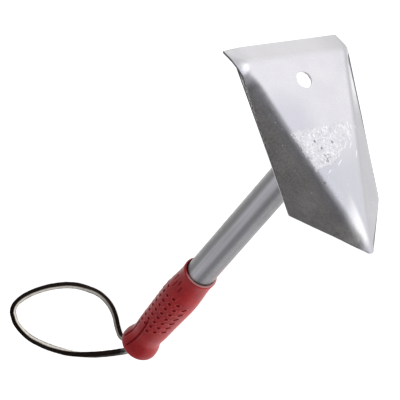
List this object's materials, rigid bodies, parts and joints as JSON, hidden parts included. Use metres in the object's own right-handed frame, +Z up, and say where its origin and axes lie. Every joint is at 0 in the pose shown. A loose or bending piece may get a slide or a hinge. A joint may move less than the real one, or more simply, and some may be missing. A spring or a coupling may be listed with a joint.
{
  "type": "short-handled scraper shovel",
  "caption": "Short-handled shovel head of folded aluminium sheet with a pointed tip, curled lip and hang hole, on a welded tube with a moulded grip and leather wrist lace.",
  "frame": {"origin": "on the surface that the tool lies on, under the middle of the outer box of the blade, tube and grip", "axes": "+X along the handle from the grip to the blade, square to the blade's top and bottom edges as seen from above, +Y towards the blade's lip, +Z up, away from the surface that the tool lies on"},
  "size_m": [0.5402, 0.1882, 0.1096],
  "materials": {
    "pressed_aluminium": "satin pressed sheet",
    "drawn_aluminium": "dull drawn tube",
    "weld_metal": "rippled weld",
    "red_vinyl": "semi-gloss moulded vinyl",
    "dark_leather": "dyed leather with a pale flesh side"
  },
  "bodies": {
    "root": {"blade": "pressed_aluminium", "handle_tube": "drawn_aluminium", "weld_bead": "weld_metal", "grip": "red_vinyl", "wrist_lace": "dark_leather", "lace_knot": "dark_leather"}
  },
  "joints": []
}
